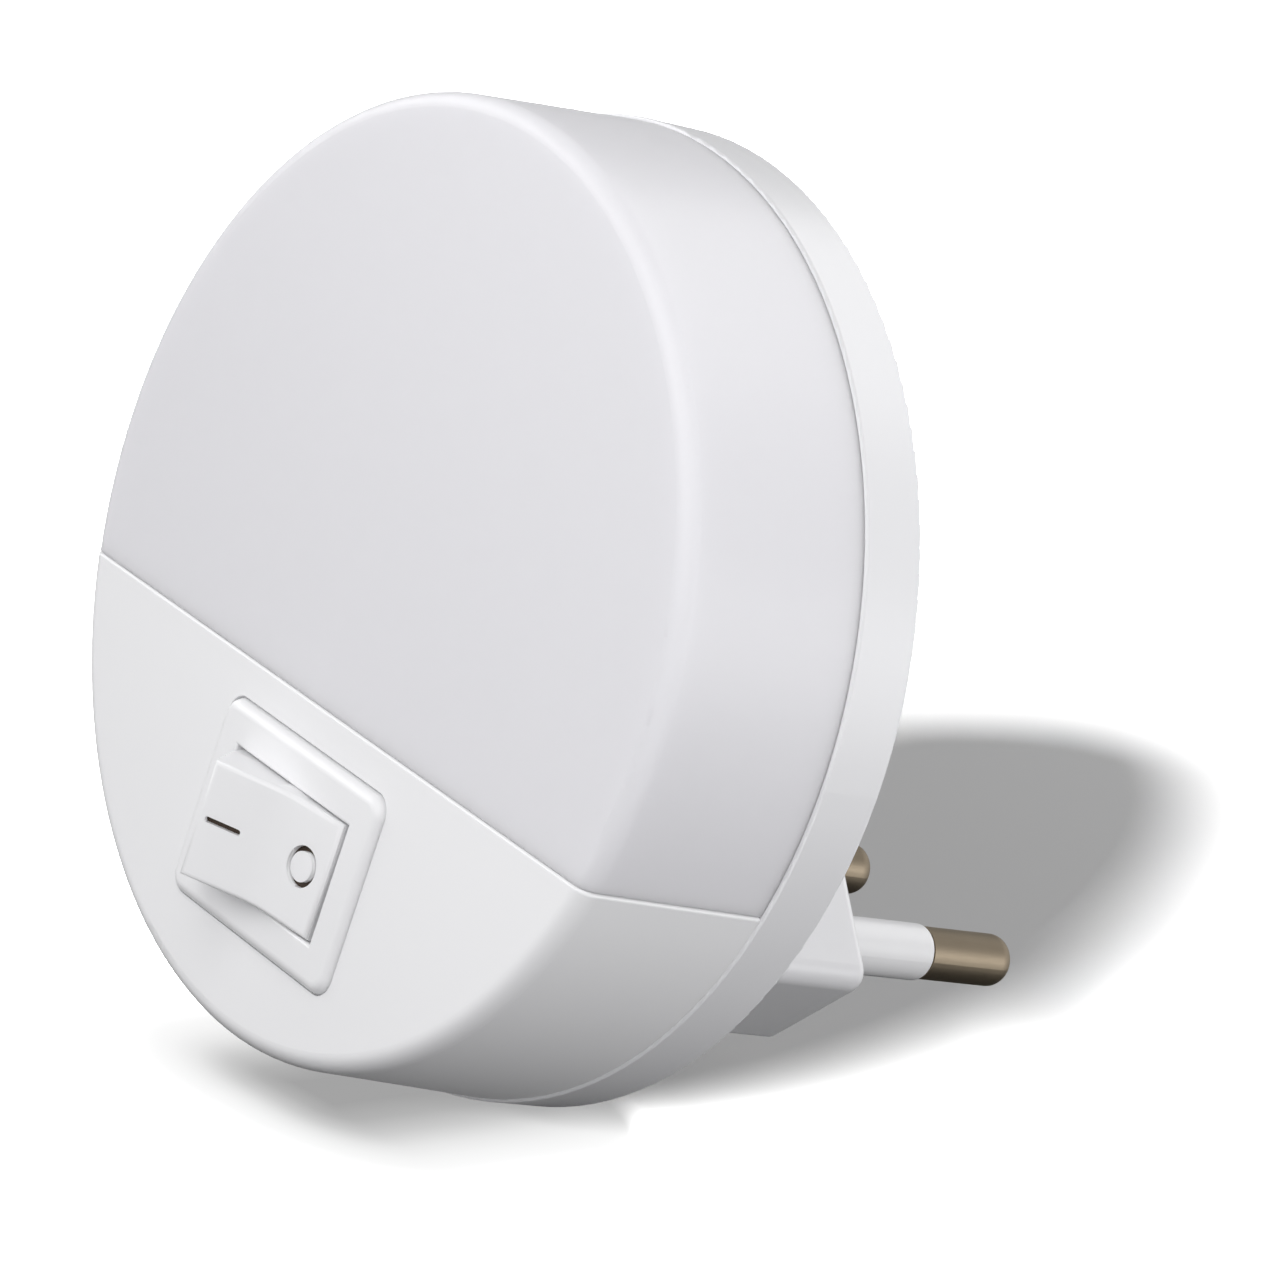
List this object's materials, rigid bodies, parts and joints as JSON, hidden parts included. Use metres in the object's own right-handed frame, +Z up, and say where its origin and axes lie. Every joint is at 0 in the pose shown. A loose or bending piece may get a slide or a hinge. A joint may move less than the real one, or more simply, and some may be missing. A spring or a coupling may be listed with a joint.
{
  "type": "plug-in night light",
  "caption": "Round plug-in night light with an opal diffuser over a white lower cover, a rocker switch on the front and a flat two-pin mains plug on the back.",
  "frame": {"origin": "middle of the plug's rear face, midway between the pins", "axes": "+Y into the wall outlet along the plug, +Z up, +X to the right as seen from the room"},
  "size_m": [0.071, 0.0665, 0.0709],
  "materials": {
    "white_shell": "white moulded plastic, satin gloss",
    "opal_diffuser": "opal translucent plastic, satin gloss",
    "plated_brass": "nickel plated brass, satin",
    "white_sleeve": "white insulating sleeve",
    "inner_plastic": "plain moulded plastic",
    "zinc_screw": "zinc plated steel",
    "switch_white": "white switch plastic",
    "spring_steel": "drawn spring wire",
    "contact_brass": "stamped brass strip",
    "board_white": "glass-fibre board, white mask",
    "led_package": "white package with yellow phosphor",
    "film_case": "epoxy-filled box",
    "can_sleeve": "shrink-sleeved can",
    "black_case": "moulded black epoxy",
    "resistor_coat": "lacquered body",
    "lead_brown": "insulated wire, brown",
    "lead_blue": "insulated wire, blue"
  },
  "bodies": {
    "housing": {"back_plate": "white_shell", "front_cover": "white_shell", "diffuser": "opal_diffuser", "plug_pin_left": "plated_brass", "plug_pin_right": "plated_brass", "pin_sleeve_left": "white_sleeve", "pin_sleeve_right": "white_sleeve", "pin_retainer": "inner_plastic", "retainer_screw": "zinc_screw", "cover_screws": "zinc_screw", "board_screws": "zinc_screw", "switch_housing": "switch_white", "common_terminal": "contact_brass", "load_terminal": "contact_brass", "circuit_board": "board_white", "led_1": "led_package", "led_2": "led_package", "led_3": "led_package", "led_4": "led_package", "dropper_capacitor": "film_case", "smoothing_capacitor": "can_sleeve", "bridge_rectifier": "black_case", "fuse_resistor": "resistor_coat", "discharge_resistor": "resistor_coat", "live_lead": "lead_brown", "lamp_lead": "lead_brown", "neutral_lead": "lead_blue"},
    "rocker": {"rocker": "switch_white", "rocker_plunger": "inner_plastic", "plunger_spring": "spring_steel"},
    "lever": {"contact_lever": "contact_brass"}
  },
  "joints": [
    {"name": "rocker_hinge", "type": "hinge", "parent": "housing", "child": "rocker", "pos_m": [0, -0.0401, -0.0008], "axis": [0, 0, -1], "range_deg": [0, 40]},
    {"name": "lever_hinge", "type": "hinge", "parent": "housing", "child": "lever", "pos_m": [0, -0.03438, -0.0008], "axis": [0, 0, 1], "range_deg": [0, 16]}
  ],
  "couplings": [
    {"joint": "lever_hinge", "follows": "rocker_hinge", "ratio": 0.4}
  ]
}
